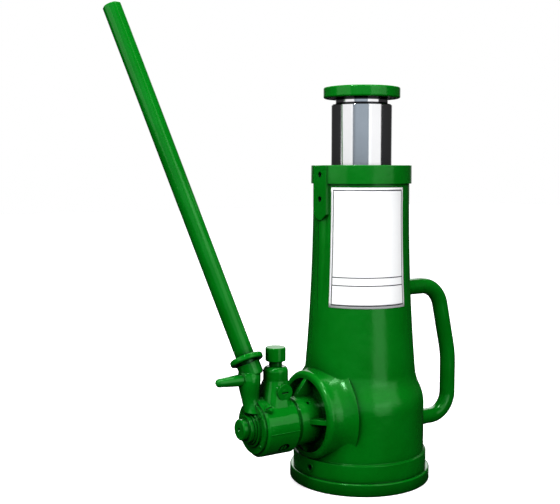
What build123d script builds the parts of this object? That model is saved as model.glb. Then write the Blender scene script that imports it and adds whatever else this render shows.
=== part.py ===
"""Bevel-geared screw jack with a reversible ratchet head, raised part of its lift. Millimetres.

+Z is up along the lifting screw, and the origin is the middle of the base's underside.
The pinion shaft and the ratchet head point along -X, the carrying handle along +X.
"""

import os
from math import atan2, cos, pi, radians, sin, tan

from build123d import *

# Fits and gaps
running_fit = 0.06
guide_fit = 0.2
seat_fit = 0.02
face_gap = 0.1
loose_gap = 0.4

# Base
base_lip = 3.8
base_thickness = 13.7
base_edge = 1.5
spigot_step = 9.0
spigot_height = 8.3
rim_height = 15.3
rim_wall = 12.0

# Locking screw through the flange ring
lock_screw_azimuth = 187.0
lock_screw_radius = 3.0
lock_screw_length = 14.0
lock_screw_sink = 1.2

# Housing shell
wall = 7.0
flange_lip = 2.7
flange_height = 18.1
flange_step = 1.2
barrel_radius = 71.0
barrel_top_z = 84.0
shoulder_swell = 5.3
shoulder_z = 104.4
cone_start_radius = 60.9
cone_start_z = 124.0
cone_middle_radius = 55.0
cone_middle_z = 211.0
neck_radius = 52.4
neck_z = 300.0
collar_lip = 2.3
collar_height = 19.7
collar_top_z = 346.0
collar_edge = 0.8
guide_length = 84.0

# Guide pad, its key and screws, and the soft ridge below it
pad_proud = 3.0
pad_width = 23.0
pad_drop = 61.0
pad_point = 9.0
pad_screw_radius = 3.0
pad_screw_drops = (10.0, 36.0)
pad_screw_sink = 1.5
key_width = 8.0
key_height = 8.0
key_nib_length = 16.0
key_depth = 3.0
ridge_radius = 10.0
ridge_proud = 2.2
ridge_foot_z = 150.0

# Thrust bearing
race_inner_radius = 24.0
race_outer_radius = 44.0
race_thickness = 5.0
race_gap = 4.0
ball_circle_radius = 34.0
ball_radius = 4.0
ball_count = 16
cage_thickness = 2.6
cage_step = 1.0

# Bevel gears
crown_teeth = 24
pinion_teeth = 12
tooth_module = 4.333
face_width = 17.0
tooth_addendum = 3.0
tooth_dedendum = 4.2
flank_angle = 20.0
backlash = 1.2
crown_hub_radius = 30.0
crown_hub_height = 22.0
gear_key_width = 6.0

# Lifting screw
screw_radius = 22.0
screw_edge = 1.0
screw_foot_radius = 15.0
screw_foot_z = 9.0
screw_seat_radius = 18.0
screw_flange_radius = 26.0
screw_flange_height = 6.0
screw_top_z = 322.0
stop_washer_radius = 24.0
stop_washer_thickness = 5.0
stop_screw_radius = 6.0
stop_screw_head_radius = 10.0
stop_screw_head_height = 5.0
stop_screw_depth = 24.0

# Ram and its nut
ram_radius = 33.0
ram_bore_radius = 25.5
ram_low_z = 145.0
ram_top_z = 411.4
ram_cap = 12.0
ram_edge = 1.0
ram_neck_radius = 28.4
ram_neck_length = 6.6
nut_radius = 28.0
nut_height = 49.5
nut_pin_radius = 3.0
keyway_length = 200.0

# Saddle
saddle_radius = 41.7
saddle_thickness = 12.0
saddle_edge = 2.0
saddle_spigot_radius = 14.0
saddle_spigot_depth = 9.0
saddle_groove_count = 8
saddle_groove_width = 3.0
saddle_groove_depth = 1.2
saddle_groove_inner = 15.0
saddle_groove_outer = 36.0
saddle_screw_radius = 5.0
saddle_screw_depth = 8.0
saddle_screw_sink = 2.0
saddle_screw_head_radius = 9.0
saddle_screw_head_height = 5.0

# Pinion boss on the housing
pinion_z = 74.0
boss_proud = 2.5
boss_lift = 4.0
boss_edge = 5.0
boss_radius = 48.0
boss_flare_radius = 60.0
boss_flare_sink = 25.0
pocket_radius = 40.0
pocket_depth = 7.0
pocket_floor_radius = 37.0
boss_inner_depth = 5.5
hub_radius = 26.0
hub_length = 20.9
hub_edge = 1.5
web_thickness = 5.0
web_step = 6.4
web_count = 4
oil_hole_radius = 1.8
oil_hole_step = 14.4
oil_hole_turn = 35.0

# Pinion shaft, bush and ratchet wheel
bush_bore_radius = 13.0
bush_radius = 17.0
pinion_collar_radius = 20.0
pinion_washer_thickness = 2.0
wheel_seat_radius = 12.0
shaft_end_radius = 11.0
shaft_end_edge = 1.0
shaft_overhang = 12.5
centre_hole_radius = 2.4
centre_hole_depth = 4.0
ring_radius = 14.6
ring_length = 4.0
washer_radius = 16.5
washer_thickness = 2.2
wheel_radius = 21.0
wheel_root_radius = 16.4
wheel_teeth = 12
wheel_tooth_root = 4.0
wheel_tooth_angle = 85.0
wheel_width = 19.0
wheel_key_width = 4.0
wheel_clearance = 0.7

# Ratchet head casting
head_gap = 0.6
head_length = 43.0
head_radius = 31.0
head_back_radius = 25.6
head_taper = 6.0
head_edge = 2.0
step_radius = 27.0
step_length = 2.6
lug_radius = 19.5
lug_length = 5.0
back_plate_radius = 22.6
back_plate_thickness = 3.4
back_plate_screw_count = 3
back_plate_screw_radius = 1.5
back_plate_screw_circle = 18.0
tower_setback = 16.0
tower_radius = 13.2
tower_height = 62.6
tower_dome = 5.6
skirt_shift = 6.0
skirt_length = 34.0
skirt_breadth = 48.0
skirt_corner = 10.0
skirt_low = 14.0
skirt_high = 48.0
detent_height = 37.0
detent_boss_radius = 8.8
detent_boss_reach = 19.0
detent_screw_radius = 4.0
detent_screw_length = 5.0
detent_slot_width = 1.5
detent_plunger_radius = 1.5
drain_setback = 21.0
drain_turn = 51.0
drain_pocket_radius = 6.4
drain_pocket_depth = 3.0
drain_plug_radius = 3.4
drain_slot_width = 1.2

# Pawl and its knob
pawl_radius = 8.2
pawl_body_lift = 5.0
pawl_body_length = 13.0
pawl_tip_lift = 0.9
pawl_blade_width = 3.8
pawl_blade_length = 13.0
pawl_stem_radius = 4.5
pawl_room_cap = 8.6
knob_neck_radius = 7.0
knob_neck_length = 8.4
knob_lift = 5.0
knob_radius = 10.7
knob_height = 14.8
knob_edge = 1.2
knob_pin_radius = 1.5
spring_seat_thickness = 1.0
spring_wire = 1.1
spring_radius = 6.4
spring_turns = 5

# Handle socket, rod and crank peg
rod_radius = 10.0
rod_length = 413.0
rod_chamfer = 1.5
mouth_overhang = 3.0
mouth_sideways = 9.0
mouth_height = 70.2
rod_outward_lean = 15.3
rod_sideways_lean = 15.7
socket_wall = 2.4
socket_length = 18.0
socket_end_edge = 3.0
socket_collar_radius = 17.6
socket_collar_length = 6.0
socket_collar_edge = 1.8
collar_outward_lean = 6.4
collar_sideways_lean = 29.0
post_foot_height = 17.4
post_foot_setback = 0.5
post_foot_length = 21.0
post_foot_breadth = 26.0
post_waist_height = 29.0
post_waist_overhang = 1.4
post_waist_sideways = 3.0
post_waist_radius = 9.7
post_swell_height = 44.0
post_swell_overhang = 3.0
post_swell_sideways = 3.5
post_top_height = 59.0
post_top_overhang = 1.6
post_top_sideways = 5.5
post_radius = 11.4
peg_height = 51.0
peg_sideways = 3.7
peg_overhang = 10.6
peg_length = 31.9
peg_root_radius = 6.6
peg_tip_radius = 4.6
peg_boss_wall = 1.6
peg_boss_length = 12.0

# Carrying handle
grip_radius = 9.0
grip_reach = 131.0
grip_top_z = 207.4
grip_low_z = 52.5
grip_slope_x = 112.2
grip_slope_z = 124.3
grip_top_bend = 30.0
grip_middle_bend = 110.0
grip_low_bend = 26.0
grip_sink = 4.5

# Radii worked out from the sizes above
flange_radius = barrel_radius + flange_lip
base_radius = flange_radius + base_lip
spigot_radius = barrel_radius - spigot_step
rim_inner_radius = spigot_radius - rim_wall
shoulder_radius = cone_start_radius + shoulder_swell
collar_radius = neck_radius + collar_lip
pad_face = neck_radius + pad_proud
guide_bore_radius = ram_radius + guide_fit
key_back_radius = ram_radius + key_height
wheel_cavity_radius = wheel_radius + wheel_clearance
head_bore_radius = wheel_seat_radius + running_fit
pawl_bore_radius = pawl_radius + running_fit
rod_bore_radius = rod_radius + running_fit
socket_radius = rod_radius + socket_wall

# Levels worked out from the sizes above
spigot_top_z = base_thickness + spigot_height
rim_top_z = base_thickness + rim_height
flange_top_z = base_thickness + flange_height
lock_screw_z = base_thickness + flange_height / 2
lock_screw_tip = flange_radius - lock_screw_sink - lock_screw_length
collar_low_z = collar_top_z - collar_height
guide_low_z = collar_top_z - guide_length
pad_low_z = collar_top_z - pad_drop
lower_race_top_z = spigot_top_z + race_thickness
upper_race_low_z = lower_race_top_z + race_gap
ball_z = (lower_race_top_z + upper_race_low_z) / 2
crown_back_z = upper_race_low_z + race_thickness
crown_hub_top_z = crown_back_z + crown_hub_height
thread_low_z = crown_hub_top_z + screw_flange_height
saddle_low_z = ram_top_z + ram_neck_length
saddle_top_z = saddle_low_z + saddle_thickness
nut_top_z = ram_low_z + nut_height
tower_top_z = pinion_z + tower_height
detent_z = pinion_z + detent_height
pawl_tip_z = pinion_z + wheel_radius + pawl_tip_lift
pawl_body_low_z = pinion_z + wheel_radius + pawl_body_lift
pawl_body_top_z = pawl_body_low_z + pawl_body_length
pawl_room_top_z = tower_top_z - pawl_room_cap
knob_low_z = tower_top_z + knob_lift
knob_neck_low_z = knob_low_z - knob_neck_length
knob_top_z = knob_low_z + knob_height
peg_z = pinion_z + peg_height
grip_low_sink = barrel_radius - grip_sink
grip_top_share = (grip_top_z - cone_start_z) / (cone_middle_z - cone_start_z)
grip_top_sink = cone_start_radius + (cone_middle_radius - cone_start_radius) * grip_top_share - grip_sink

# Stations along the pinion shaft, outward from the lifting screw
boss_face = barrel_radius + boss_proud
pocket_floor = boss_face - pocket_depth
boss_inner_face = barrel_radius - wall - boss_inner_depth
boss_flare_face = barrel_radius - boss_flare_sink
hub_end = boss_face + hub_length
web_hub_end = hub_end - web_step
oil_hole_station = hub_end - oil_hole_step
pinion_washer_far = boss_inner_face - face_gap
pinion_washer_near = pinion_washer_far - pinion_washer_thickness
head_back = hub_end + head_gap
head_front = head_back + head_length
step_front = head_front + step_length
lug_front = head_front + lug_length
back_plate_front = head_back + back_plate_thickness
wheel_near = back_plate_front + loose_gap
wheel_far = wheel_near + wheel_width
cavity_far = wheel_far + loose_gap
washer_near = lug_front + face_gap
ring_near = washer_near + washer_thickness
ring_far = ring_near + ring_length
shaft_end = lug_front + shaft_overhang
tower_station = head_back + tower_setback
skirt_station = tower_station + skirt_shift
drain_station = head_back + drain_setback
peg_root = head_front + peg_overhang
peg_end = peg_root + peg_length

# Pitch cones of the gear pair, whose common apex is where the two axes cross
crown_pitch_radius = crown_teeth * tooth_module / 2
pinion_pitch_radius = pinion_teeth * tooth_module / 2
cone_distance = (crown_pitch_radius**2 + pinion_pitch_radius**2) ** 0.5
crown_cone = atan2(crown_pitch_radius, pinion_pitch_radius)
inner_share = (cone_distance - face_width) / cone_distance
tooth_pitch = pi * tooth_module
pinion_back = crown_pitch_radius + tooth_dedendum * cos(crown_cone)

pinion_axis = Axis((0, 0, pinion_z), (-1, 0, 0))
boss_axis = Axis((0, 0, pinion_z + boss_lift), (-1, 0, 0))


def axial(station, rho):
    """Point of the XZ plane at a station along the pinion shaft and a distance above its axis."""
    return (-station, pinion_z + rho)


def across(station):
    """Plane across the pinion shaft: its x is towards -Y, its y is up, its normal is outward."""
    return Plane(origin=(-station, 0, pinion_z), x_dir=(0, -1, 0), z_dir=(-1, 0, 0))


def facing_out(azimuth, radius, height):
    """Plane at a point round the lifting screw, whose normal points straight out."""
    out_x = cos(radians(azimuth))
    out_y = sin(radians(azimuth))
    return Plane(origin=(radius * out_x, radius * out_y, height), z_dir=(out_x, out_y, 0))


def turn_about_screw(*points, mode=Mode.ADD):
    """Turn an outline of (radius, height) points about the lifting screw."""
    with BuildSketch(Plane.XZ) as outline:
        with BuildLine():
            Polyline(*points, close=True)
        make_face()
    revolve(outline.sketch, axis=Axis.Z, mode=mode)


def turn_about_pinion(*points, mode=Mode.ADD):
    """Turn an outline of (station, radius) points about the pinion shaft."""
    with BuildSketch(Plane.XZ) as outline:
        with BuildLine():
            Polyline(*[axial(station, rho) for station, rho in points], close=True)
        make_face()
    revolve(outline.sketch, axis=pinion_axis, mode=mode)


def ring_about_screw(inner, outer, low, high, mode=Mode.ADD):
    """Plain ring round the lifting screw."""
    turn_about_screw((inner, low), (outer, low), (outer, high), (inner, high), mode=mode)


def ring_about_pinion(inner, outer, near, far, mode=Mode.ADD):
    """Plain ring round the pinion shaft."""
    turn_about_pinion((near, inner), (near, outer), (far, outer), (far, inner), mode=mode)


def finish(builder, name):
    """Name a finished piece and write its file."""
    builder.part.label = name
    export_step(builder.part, f"parts/{name}.step")


def bevel_tooth(tips_up):
    """One straight bevel tooth on the element of the pitch cones that both gears share.

    Every edge runs to the common apex, so the flanks are flat and stay in mesh along the face.
    """
    side = -1 if tips_up else 1
    run = Vector(-sin(crown_cone), 0, -cos(crown_cone))
    apex = Vector(0, 0, pinion_z)
    half_pitch_line = tooth_pitch / 4 - backlash / 2
    half_tip = half_pitch_line - tooth_addendum * tan(radians(flank_angle))
    root_depth = tooth_dedendum + tooth_module / 4
    half_root = half_pitch_line + root_depth * tan(radians(flank_angle))
    ends = []
    for share in (1, inner_share):
        plane = Plane(origin=apex + run * cone_distance * share, x_dir=(0, side, 0), z_dir=run)
        with BuildSketch(plane, mode=Mode.PRIVATE) as end:
            with BuildLine():
                Polyline(
                    (-half_root * share, -root_depth * share),
                    (half_root * share, -root_depth * share),
                    (half_tip * share, tooth_addendum * share),
                    (-half_tip * share, tooth_addendum * share),
                    close=True,
                )
            make_face()
        ends.append(end.sketch)
    return loft(ends, ruled=True, mode=Mode.PRIVATE)


os.makedirs("parts", exist_ok=True)

# Base plate: flange, spigot, rim round the bearing and the pilot hole for the screw's foot
with BuildPart() as base_plate:
    ring_about_screw(0, base_radius, 0, base_thickness)
    fillet(base_plate.edges().filter_by(GeomType.CIRCLE), radius=base_edge)
    turn_about_screw(
        (0, base_thickness),
        (spigot_radius - seat_fit, base_thickness),
        (spigot_radius - seat_fit, rim_top_z),
        (rim_inner_radius, rim_top_z),
        (rim_inner_radius, spigot_top_z),
        (0, spigot_top_z),
    )
    ring_about_screw(
        0, screw_foot_radius + running_fit, screw_foot_z - loose_gap, spigot_top_z, mode=Mode.SUBTRACT
    )
    with BuildSketch(facing_out(lock_screw_azimuth, lock_screw_tip, lock_screw_z)):
        Circle(lock_screw_radius)
    extrude(amount=lock_screw_length, mode=Mode.SUBTRACT)
finish(base_plate, "base_plate")

# Housing: turned shell, pinion boss, guide pad and seats for the carrying handle
with BuildPart() as housing:
    with BuildSketch(Plane.XZ):
        with BuildLine():
            Polyline(
                (0, base_thickness),
                (flange_radius, base_thickness),
                (flange_radius, flange_top_z),
                (barrel_radius, flange_top_z + flange_step),
                (barrel_radius, barrel_top_z),
            )
            shoulder = TangentArc(
                (barrel_radius, barrel_top_z), (shoulder_radius, shoulder_z), tangent=(0, 1)
            )
            TangentArc(
                (shoulder_radius, shoulder_z), (cone_start_radius, cone_start_z), tangent=shoulder % 1
            )
            ThreePointArc(
                (cone_start_radius, cone_start_z),
                (cone_middle_radius, cone_middle_z),
                (neck_radius, neck_z),
            )
            Polyline(
                (neck_radius, neck_z),
                (neck_radius, collar_low_z),
                (collar_radius, collar_low_z),
                (collar_radius, collar_top_z),
                (0, collar_top_z),
                (0, base_thickness),
            )
        make_face()
    revolve(axis=Axis.Z)
    fillet(housing.edges().group_by(Axis.Z)[-1], radius=collar_edge)

    # Flared boss above the pinion shaft, cut off where it would cross the flange
    with BuildSketch(Plane.XZ):
        with BuildLine():
            Polyline(
                axial(boss_flare_face, boss_lift + boss_flare_radius),
                axial(boss_flare_face, boss_lift),
                axial(boss_face, boss_lift),
                axial(boss_face, boss_lift + boss_radius - boss_edge),
            )
            boss_rim = TangentArc(
                axial(boss_face, boss_lift + boss_radius - boss_edge),
                axial(boss_face - boss_edge, boss_lift + boss_radius),
                tangent=(0, 1),
            )
            TangentArc(
                axial(boss_face - boss_edge, boss_lift + boss_radius),
                axial(boss_flare_face, boss_lift + boss_flare_radius),
                tangent=boss_rim % 1,
            )
        make_face()
    revolve(axis=boss_axis)
    ring_about_screw(
        flange_radius, flange_radius + boss_radius, 0, flange_top_z + flange_step, mode=Mode.SUBTRACT
    )

    # Flat pad for the guide key's screws, and the cast ridge that runs down from it
    with BuildSketch(Plane.YZ.offset(-pad_face)):
        with BuildLine():
            Polyline(
                (-pad_width / 2, collar_top_z - collar_edge),
                (-pad_width / 2, pad_low_z + pad_point),
                (0, pad_low_z),
                (pad_width / 2, pad_low_z + pad_point),
                (pad_width / 2, collar_top_z - collar_edge),
                close=True,
            )
        make_face()
        fillet(vertices().group_by(Axis.Y)[0], radius=pad_point)
    extrude(amount=pad_face - neck_radius + wall)
    with BuildSketch(Plane.XY.offset(pad_low_z + pad_point)):
        with Locations((ridge_radius - neck_radius - ridge_proud, 0)):
            Circle(ridge_radius)
    with BuildSketch(Plane.XY.offset(ridge_foot_z)):
        with Locations((ridge_radius - cone_middle_radius - ridge_proud, 0)):
            Circle(ridge_radius)
    loft()

    # Inside: seat for the base, room for the gears, and the bore that guides the ram
    turn_about_screw(
        (0, 0),
        (spigot_radius, 0),
        (spigot_radius, rim_top_z),
        (barrel_radius - wall, rim_top_z),
        (barrel_radius - wall, barrel_top_z),
        (shoulder_radius - wall, shoulder_z),
        (cone_start_radius - wall, cone_start_z),
        (cone_middle_radius - wall, cone_middle_z),
        (neck_radius - wall, guide_low_z - wall),
        (guide_bore_radius, guide_low_z),
        (guide_bore_radius, collar_top_z),
        (0, collar_top_z),
        mode=Mode.SUBTRACT,
    )

    # Pocket of the boss, then the hub, the webs and the thrust face inside the wall
    with BuildSketch(Plane.XZ):
        with BuildLine():
            Polyline(
                axial(pocket_floor, boss_lift),
                axial(pocket_floor, boss_lift + pocket_floor_radius),
                axial(boss_face, boss_lift + pocket_radius),
                axial(hub_end, boss_lift + pocket_radius),
                axial(hub_end, boss_lift),
                close=True,
            )
        make_face()
    revolve(axis=boss_axis, mode=Mode.SUBTRACT)
    turn_about_pinion(
        (boss_inner_face, 0),
        (boss_inner_face, hub_radius),
        (hub_end - hub_edge, hub_radius),
        (hub_end, hub_radius - hub_edge),
        (hub_end, 0),
    )
    with BuildSketch(Plane.XZ):
        with BuildLine():
            Polyline(
                axial(pocket_floor, boss_lift + bush_radius),
                axial(pocket_floor, boss_lift + pocket_floor_radius + hub_edge),
                axial(boss_face - hub_edge, boss_lift + pocket_radius + hub_edge),
                axial(web_hub_end, hub_radius),
                axial(web_hub_end, bush_radius),
                close=True,
            )
        make_face()
    web = extrude(amount=web_thickness / 2, both=True)
    for quarter in range(1, web_count):
        add(web.rotate(boss_axis, quarter * 360 / web_count))

    # Bore for the bush, oil hole, and the set screw, key and handle seats
    ring_about_pinion(0, bush_radius + seat_fit, 0, hub_end, mode=Mode.SUBTRACT)
    oil_up = Vector(0, -sin(radians(oil_hole_turn)), cos(radians(oil_hole_turn)))
    with BuildSketch(Plane(origin=(-oil_hole_station, 0, pinion_z), z_dir=oil_up)):
        Circle(oil_hole_radius)
    extrude(amount=hub_radius + wall, mode=Mode.SUBTRACT)
    with BuildSketch(facing_out(lock_screw_azimuth, lock_screw_tip, lock_screw_z)):
        Circle(lock_screw_radius)
    extrude(amount=flange_radius, mode=Mode.SUBTRACT)
    with BuildSketch(Plane.XY.offset(guide_low_z)):
        with Locations((-key_back_radius / 2 - ram_radius / 2, 0)):
            Rectangle(key_back_radius - ram_radius + 2 * loose_gap, key_width + 2 * seat_fit)
    extrude(amount=guide_length - wall, mode=Mode.SUBTRACT)
    for drop in pad_screw_drops:
        with BuildSketch(Plane.YZ.offset(-pad_face)):
            with Locations((0, collar_top_z - drop)):
                Circle(pad_screw_radius)
        extrude(amount=pad_face - ram_radius, mode=Mode.SUBTRACT)
    for height, depth in ((grip_top_z, grip_top_sink), (grip_low_z, grip_low_sink)):
        with BuildSketch(Plane.YZ.offset(depth - seat_fit)):
            with Locations((0, height)):
                Circle(grip_radius + seat_fit)
        extrude(amount=wall + grip_radius, mode=Mode.SUBTRACT)
finish(housing, "housing")

# Locking screw in the flange ring
with BuildPart() as lock_screw:
    with BuildSketch(facing_out(lock_screw_azimuth, lock_screw_tip, lock_screw_z)):
        Circle(lock_screw_radius)
    extrude(amount=lock_screw_length)
    with BuildSketch(facing_out(lock_screw_azimuth, lock_screw_tip + lock_screw_length, lock_screw_z)):
        RegularPolygon(lock_screw_radius / 2, 6)
    extrude(amount=-lock_screw_radius, mode=Mode.SUBTRACT)
finish(lock_screw, "lock_screw")

# Guide key: a bar let into the housing, whose nib at its foot runs in the ram's keyway
with BuildPart() as guide_key:
    with BuildSketch(Plane.XZ):
        with BuildLine():
            Polyline(
                (-key_back_radius, guide_low_z),
                (-ram_radius + key_depth - guide_fit, guide_low_z),
                (-ram_radius + key_depth - guide_fit, guide_low_z + key_nib_length),
                (-guide_bore_radius - loose_gap, guide_low_z + key_nib_length + key_depth),
                (-guide_bore_radius - loose_gap, collar_top_z - wall),
                (-key_back_radius, collar_top_z - wall),
                close=True,
            )
        make_face()
    extrude(amount=key_width / 2 - guide_fit / 2, both=True)
    for drop in pad_screw_drops:
        with BuildSketch(Plane.YZ.offset(-key_back_radius)):
            with Locations((0, collar_top_z - drop)):
                Circle(pad_screw_radius - seat_fit)
        extrude(amount=key_depth, mode=Mode.SUBTRACT)
finish(guide_key, "guide_key")

# The two screws that hold the guide key, sunk below the pad
with BuildPart() as key_screws:
    for drop in pad_screw_drops:
        with BuildSketch(Plane.YZ.offset(-key_back_radius + key_depth)):
            with Locations((0, collar_top_z - drop)):
                Circle(pad_screw_radius - seat_fit)
        extrude(amount=-(pad_face - pad_screw_sink - key_back_radius + key_depth))
        with BuildSketch(Plane.YZ.offset(-pad_face + pad_screw_sink)):
            with Locations((0, collar_top_z - drop)):
                RegularPolygon(pad_screw_radius / 2, 6)
        extrude(amount=pad_screw_radius, mode=Mode.SUBTRACT)
finish(key_screws, "key_screws")

# Carrying handle: one bent bar whose ends sit in the housing
with BuildPart() as carry_handle:
    with BuildLine():
        FilletPolyline(
            (grip_top_sink, 0, grip_top_z),
            (grip_slope_x, 0, grip_top_z),
            (grip_reach, 0, grip_slope_z),
            (grip_reach, 0, grip_low_z),
            (grip_low_sink, 0, grip_low_z),
            radius=(grip_top_bend, grip_middle_bend, grip_low_bend),
        )
    with BuildSketch(Plane.YZ.offset(grip_top_sink)):
        with Locations((0, grip_top_z)):
            Circle(grip_radius)
    sweep()
finish(carry_handle, "carry_handle")

# Thrust bearing under the crown gear
with BuildPart() as lower_race:
    ring_about_screw(race_inner_radius, race_outer_radius, spigot_top_z, lower_race_top_z)
    with BuildSketch(Plane.XZ):
        with Locations((ball_circle_radius, ball_z)):
            Circle(ball_radius + seat_fit)
    revolve(axis=Axis.Z, mode=Mode.SUBTRACT)
finish(lower_race, "lower_race")

with BuildPart() as upper_race:
    ring_about_screw(race_inner_radius, race_outer_radius, upper_race_low_z, crown_back_z)
    with BuildSketch(Plane.XZ):
        with Locations((ball_circle_radius, ball_z)):
            Circle(ball_radius + seat_fit)
    revolve(axis=Axis.Z, mode=Mode.SUBTRACT)
finish(upper_race, "upper_race")

with BuildPart() as ball_cage:
    ring_about_screw(
        race_inner_radius + cage_step,
        race_outer_radius - cage_step,
        ball_z - cage_thickness / 2,
        ball_z + cage_thickness / 2,
    )
    with BuildSketch(Plane.XY.offset(ball_z - cage_thickness)):
        with PolarLocations(ball_circle_radius, ball_count):
            Circle(ball_radius + face_gap)
    extrude(amount=2 * cage_thickness, mode=Mode.SUBTRACT)
finish(ball_cage, "ball_cage")

with BuildPart() as bearing_balls:
    with Locations(Plane.XY.offset(ball_z)):
        with PolarLocations(ball_circle_radius, ball_count):
            Sphere(ball_radius)
finish(bearing_balls, "bearing_balls")

# Crown gear: turned blank on the upper race, its hub on the screw's seat, and its teeth
crown_run_x = sin(crown_cone)
crown_run_z = cos(crown_cone)
root_outer_radius = crown_pitch_radius - tooth_dedendum * crown_run_z
root_outer_z = pinion_z - pinion_pitch_radius - tooth_dedendum * crown_run_x
root_inner_radius = root_outer_radius * inner_share
root_inner_z = pinion_z - (pinion_z - root_outer_z) * inner_share
with BuildPart() as crown_gear:
    turn_about_screw(
        (screw_seat_radius, crown_back_z),
        (root_outer_radius - tooth_dedendum / 2, crown_back_z),
        (root_outer_radius, root_outer_z),
        (root_inner_radius, root_inner_z),
        (crown_hub_radius, root_inner_z),
        (crown_hub_radius, crown_hub_top_z),
        (screw_seat_radius, crown_hub_top_z),
    )
    crown_tooth = bevel_tooth(tips_up=True)
    for tooth in range(crown_teeth):
        add(crown_tooth.rotate(Axis.Z, (tooth + 0.5) * 360 / crown_teeth))
    with BuildSketch(Plane.XY.offset(crown_back_z)):
        with Locations((screw_seat_radius, 0)):
            Rectangle(gear_key_width, gear_key_width)
    extrude(amount=crown_hub_height, mode=Mode.SUBTRACT)
finish(crown_gear, "crown_gear")

with BuildPart() as gear_key:
    with BuildSketch(Plane.XY.offset(crown_back_z)):
        with Locations((screw_seat_radius, 0)):
            Rectangle(gear_key_width, gear_key_width)
    extrude(amount=crown_hub_height)
finish(gear_key, "gear_key")

# Lifting screw: foot in the base, seat for the crown gear, load flange and threaded length
with BuildPart() as lead_screw:
    turn_about_screw(
        (0, screw_foot_z),
        (screw_foot_radius, screw_foot_z),
        (screw_foot_radius, crown_back_z),
        (screw_seat_radius, crown_back_z),
        (screw_seat_radius, crown_hub_top_z),
        (screw_flange_radius, crown_hub_top_z),
        (screw_flange_radius, thread_low_z),
        (screw_radius, thread_low_z),
        (screw_radius, screw_top_z - screw_edge),
        (screw_radius - screw_edge, screw_top_z),
        (0, screw_top_z),
    )
    with BuildSketch(Plane.XY.offset(crown_back_z)):
        with Locations((screw_seat_radius, 0)):
            Rectangle(gear_key_width, gear_key_width)
    extrude(amount=crown_hub_height, mode=Mode.SUBTRACT)
    ring_about_screw(0, stop_screw_radius, screw_top_z - stop_screw_depth, screw_top_z, mode=Mode.SUBTRACT)
finish(lead_screw, "lead_screw")

# Stop at the top of the screw, which keeps the nut on it
with BuildPart() as stop_washer:
    ring_about_screw(
        stop_screw_radius, stop_washer_radius, screw_top_z, screw_top_z + stop_washer_thickness
    )
finish(stop_washer, "stop_washer")

stop_head_low_z = screw_top_z + stop_washer_thickness
with BuildPart() as stop_screw:
    ring_about_screw(0, stop_screw_radius, screw_top_z - stop_screw_depth, stop_head_low_z)
    with BuildSketch(Plane.XY.offset(stop_head_low_z)):
        RegularPolygon(stop_screw_head_radius, 6)
    extrude(amount=stop_screw_head_height)
finish(stop_screw, "stop_screw")

# Two pins across the joint between the ram and its nut
with BuildPart() as nut_pins:
    for side in (1, -1):
        with BuildSketch(Plane.XZ.offset(side * (ram_radius - face_gap))):
            with Locations((0, ram_low_z + nut_height / 2)):
                Circle(nut_pin_radius)
        extrude(amount=-side * (ram_radius - screw_radius - key_depth))
finish(nut_pins, "nut_pins")

# Nut fixed in the foot of the ram
with BuildPart() as ram_nut:
    ring_about_screw(screw_radius + face_gap, nut_radius - seat_fit, ram_low_z, nut_top_z)
    add(nut_pins.part, mode=Mode.SUBTRACT)
finish(ram_nut, "ram_nut")

# Ram: ground tube closed at the top, with a turned neck, a keyway and the seat for its nut
with BuildPart() as ram_tube:
    turn_about_screw(
        (nut_radius, ram_low_z),
        (ram_radius - ram_edge, ram_low_z),
        (ram_radius, ram_low_z + ram_edge),
        (ram_radius, ram_top_z - ram_edge),
        (ram_radius - ram_edge, ram_top_z),
        (ram_neck_radius, ram_top_z),
        (ram_neck_radius, saddle_low_z),
        (0, saddle_low_z),
        (0, ram_top_z - ram_cap),
        (ram_bore_radius, ram_top_z - ram_cap),
        (ram_bore_radius, nut_top_z),
        (nut_radius, nut_top_z),
    )
    ring_about_screw(
        0,
        saddle_spigot_radius + running_fit,
        saddle_low_z - saddle_spigot_depth - face_gap,
        saddle_low_z,
        mode=Mode.SUBTRACT,
    )
    saddle_screw_tip_z = saddle_low_z - saddle_spigot_depth - saddle_screw_depth
    ring_about_screw(0, saddle_screw_radius, saddle_screw_tip_z, saddle_low_z, mode=Mode.SUBTRACT)
    with BuildSketch(Plane.XY.offset(ram_low_z)):
        with Locations((-ram_radius, 0)):
            Rectangle(2 * key_depth, key_width)
    extrude(amount=keyway_length, mode=Mode.SUBTRACT)
    add(nut_pins.part, mode=Mode.SUBTRACT)
finish(ram_tube, "ram_tube")

# Saddle that turns on the ram's neck, with radial grooves against slipping
with BuildPart() as saddle:
    ring_about_screw(0, saddle_radius, saddle_low_z + face_gap / 2, saddle_top_z)
    fillet(saddle.edges().filter_by(GeomType.CIRCLE), radius=saddle_edge)
    saddle_spigot_z = saddle_low_z - saddle_spigot_depth
    ring_about_screw(0, saddle_spigot_radius, saddle_spigot_z, saddle_low_z + saddle_edge)
    ring_about_screw(
        0, saddle_screw_radius + face_gap, saddle_spigot_z, saddle_top_z, mode=Mode.SUBTRACT
    )
    ring_about_screw(
        0,
        saddle_screw_head_radius + loose_gap,
        saddle_top_z - saddle_screw_head_height - saddle_screw_sink,
        saddle_top_z,
        mode=Mode.SUBTRACT,
    )
    with BuildSketch(Plane.XY.offset(saddle_top_z)):
        with PolarLocations((saddle_groove_inner + saddle_groove_outer) / 2, saddle_groove_count):
            SlotOverall(saddle_groove_outer - saddle_groove_inner, saddle_groove_width)
    extrude(amount=-saddle_groove_depth, mode=Mode.SUBTRACT)
finish(saddle, "saddle")

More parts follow.
